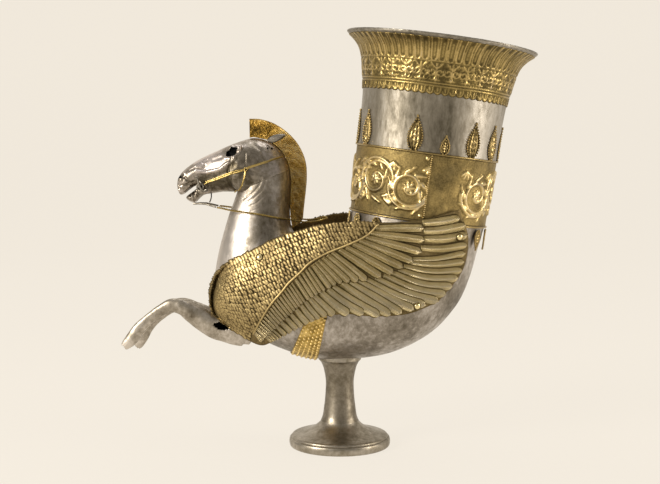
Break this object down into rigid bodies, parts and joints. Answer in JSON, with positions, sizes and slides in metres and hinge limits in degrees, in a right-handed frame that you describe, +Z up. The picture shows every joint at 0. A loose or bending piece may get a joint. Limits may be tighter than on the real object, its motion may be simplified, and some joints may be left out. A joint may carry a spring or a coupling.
{
  "type": "rhyton drinking cup",
  "caption": "Silver drinking horn on a turned foot, bent into the forepart of a winged horse, with gilt wings, frieze, collar and bridle.",
  "frame": {"origin": "centre of the foot's underside, on the surface that the cup stands on", "axes": "+Z up along the stem; the horse faces -X and the horn leans towards +X; -Y is the horse's left side, the side in the picture"},
  "size_m": [0.6247, 0.287, 0.6317],
  "materials": {
    "aged_silver": "hammered silver sheet, soft polish with grey-brown tarnish",
    "gilt_silver": "worn fire gilding on silver, olive-brown tarnish in the recesses",
    "tarnished_iron": "nearly black corroded metal"
  },
  "bodies": {
    "root": {"horn_beaker": "aged_silver", "rim_bead": "aged_silver", "rim_collar": "gilt_silver", "frieze_band": "gilt_silver", "frieze_upper_wire": "gilt_silver", "frieze_lower_wire": "gilt_silver", "frieze_seam_wire": "gilt_silver", "frieze_rivets": "gilt_silver", "palmettes_upper": "gilt_silver", "palmettes_lower": "gilt_silver", "horn_elbow": "aged_silver", "bulkhead": "aged_silver", "pour_tube": "aged_silver", "spout_lip": "aged_silver", "girdle_band": "gilt_silver", "girdle_rivets": "tarnished_iron", "protome_shell": "aged_silver", "head_shell": "aged_silver", "ear_left": "aged_silver", "ear_right": "aged_silver", "mane_crest": "gilt_silver", "foreleg_left": "aged_silver", "foreleg_right": "aged_silver", "wing_left": "gilt_silver", "wing_right": "gilt_silver", "wing_rivets_left": "gilt_silver", "wing_rivets_right": "gilt_silver", "cheek_strap_left": "gilt_silver", "cheek_strap_right": "gilt_silver", "throat_strap": "gilt_silver", "strap_studs": "gilt_silver", "bit_bar": "tarnished_iron", "bit_ring_left": "aged_silver", "bit_ring_right": "aged_silver", "cheekpiece_left": "aged_silver", "cheekpiece_right": "aged_silver", "rein_wire": "gilt_silver", "rein_link_left": "aged_silver", "rein_link_right": "aged_silver", "chin_hook": "tarnished_iron", "saddle_plate": "aged_silver", "foot_stem": "aged_silver", "foot_disc": "aged_silver", "foot_ring": "aged_silver"}
  },
  "joints": []
}
